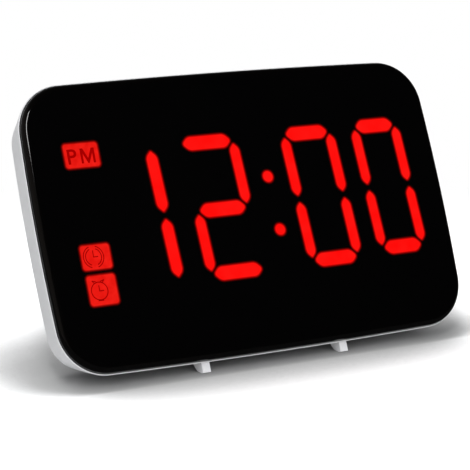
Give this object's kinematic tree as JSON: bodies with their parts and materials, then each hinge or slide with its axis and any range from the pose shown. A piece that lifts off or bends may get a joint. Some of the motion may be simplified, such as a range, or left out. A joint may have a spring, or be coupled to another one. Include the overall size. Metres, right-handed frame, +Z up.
{
  "type": "digital alarm clock",
  "caption": "Large-digit red LED alarm clock: black rounded lens, white tapering shell, lit badges, back controls, leaning on a fold-out stand.",
  "frame": {"origin": "on the table, under the middle of the clock's overall box, standing on its open stand", "axes": "+Z up, -Y towards the viewer of the display (which leans back 22.75 degrees), +X to the viewer's right"},
  "size_m": [0.15, 0.0532, 0.089],
  "materials": {
    "black_lens": "polished smoked acrylic",
    "white_shell": "fine matt moulding",
    "black_frame": "matt",
    "reflector_white": "matt black face, white wells",
    "red_guides": "translucent",
    "green_board": "solder mask",
    "led_body": "moulded",
    "steel": "zinc plated",
    "black_parts": "matt",
    "mic_can": "plain",
    "white_keys": "smooth",
    "cell_wrap": "printed sleeve"
  },
  "bodies": {
    "case": {"front_lens": "black_lens", "front_frame": "black_frame", "rear_shell": "white_shell", "display_reflector": "reflector_white", "colon_dots": "red_guides", "display_board": "green_board", "display_leds": "led_body", "display_screws": "steel", "main_board": "green_board", "controller_chip": "black_parts", "board_header": "black_parts", "buzzer": "black_parts", "microphone": "mic_can", "power_socket": "steel", "tact_switches": "black_parts", "sound_switch_body": "black_parts", "board_screws": "steel", "case_screws": "steel", "battery_contacts_plus": "steel", "battery_contacts_minus": "steel", "stand_pins": "steel", "digit_hours_tens": "red_guides", "digit_hours_units": "red_guides", "digit_minutes_tens": "red_guides", "digit_minutes_units": "red_guides", "badge_pm": "red_guides", "badge_sound": "red_guides", "badge_alarm": "red_guides", "aaa_cell_1": "cell_wrap", "aaa_cell_2": "cell_wrap", "aaa_cell_3": "cell_wrap"},
    "set_button": {"button_set": "white_keys"},
    "up_button": {"button_up": "white_keys"},
    "down_button": {"button_down": "white_keys"},
    "alarm_button": {"button_alarm": "white_keys"},
    "light_button": {"button_light": "white_keys"},
    "sound_knob": {"sound_switch_knob": "white_keys"},
    "door": {"battery_door": "white_shell"},
    "stand": {"stand_bail": "white_shell"}
  },
  "joints": [
    {"name": "set_press", "type": "slide", "parent": "case", "child": "set_button", "axis": [0, -0.9222, 0.3867], "range_m": [0, 0.0005], "stiffness_N_per_m": 2000},
    {"name": "up_press", "type": "slide", "parent": "case", "child": "up_button", "axis": [0, -0.9222, 0.3867], "range_m": [0, 0.0005], "stiffness_N_per_m": 2000},
    {"name": "down_press", "type": "slide", "parent": "case", "child": "down_button", "axis": [0, -0.9222, 0.3867], "range_m": [0, 0.0005], "stiffness_N_per_m": 2000},
    {"name": "alarm_press", "type": "slide", "parent": "case", "child": "alarm_button", "axis": [0, -0.9222, 0.3867], "range_m": [0, 0.0005], "stiffness_N_per_m": 2000},
    {"name": "light_press", "type": "slide", "parent": "case", "child": "light_button", "axis": [0, -0.9222, 0.3867], "range_m": [0, 0.0005], "stiffness_N_per_m": 2000},
    {"name": "sound_switch_slide", "type": "slide", "parent": "case", "child": "sound_knob", "axis": [0, -0.3867, -0.9222], "range_m": [0, 0.003]},
    {"name": "battery_door_tilt", "type": "hinge", "parent": "case", "child": "door", "pos_m": [0, 0.01363, 0.04044], "axis": [1, 0, 0], "range_deg": [0, 60]},
    {"name": "stand_fold", "type": "hinge", "parent": "case", "child": "stand", "pos_m": [0, 0.01446, 0.0481], "axis": [-1, 0, 0], "range_deg": [0, 35.07]}
  ]
}
